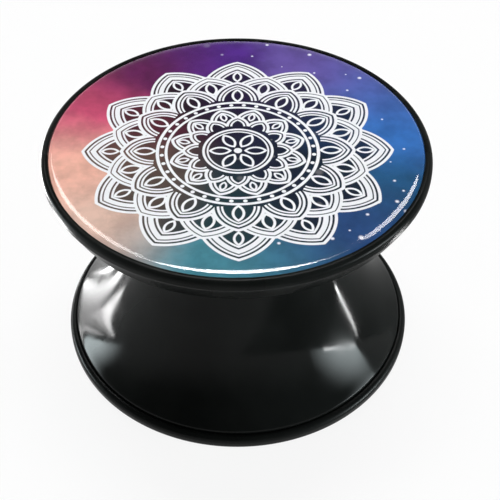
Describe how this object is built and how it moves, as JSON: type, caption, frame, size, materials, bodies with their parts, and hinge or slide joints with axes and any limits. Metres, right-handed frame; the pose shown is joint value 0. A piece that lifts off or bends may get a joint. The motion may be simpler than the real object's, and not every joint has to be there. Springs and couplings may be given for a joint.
{
  "type": "collapsible phone grip",
  "caption": "Round pop-out phone grip: a printed button under a clear lens on a soft stepped bellows that folds flat onto a thin adhesive base plate.",
  "frame": {"origin": "centre of the adhesive pad's sticky face", "axes": "+Z along the grip's axis, from the adhesive face up through the button, with the bellows extended"},
  "size_m": [0.04, 0.04, 0.0262],
  "materials": {
    "adhesive_pad": "matte foam with a tacky face",
    "base_plate": "gloss black moulding",
    "bellows": "gloss black soft moulding",
    "top_socket": "matt black moulding",
    "button_disc": "gloss black moulding",
    "print_film": "colour print on film",
    "clear_lens": "clear polished resin"
  },
  "bodies": {
    "base": {"adhesive_pad": "adhesive_pad", "base_plate": "base_plate", "bellows": "bellows"},
    "carrier": {"top_socket": "top_socket"},
    "button": {"button_disc": "button_disc", "print_film": "print_film", "clear_lens": "clear_lens"}
  },
  "joints": [
    {"name": "collapse", "type": "slide", "parent": "base", "child": "carrier", "axis": [0, 0, -1], "range_m": [0, 0.0181], "deforming": ["bellows"]},
    {"name": "swivel", "type": "hinge", "parent": "carrier", "child": "button", "pos_m": [0, 0, 0.0214], "axis": [0, 0, 1], "continuous": true}
  ]
}
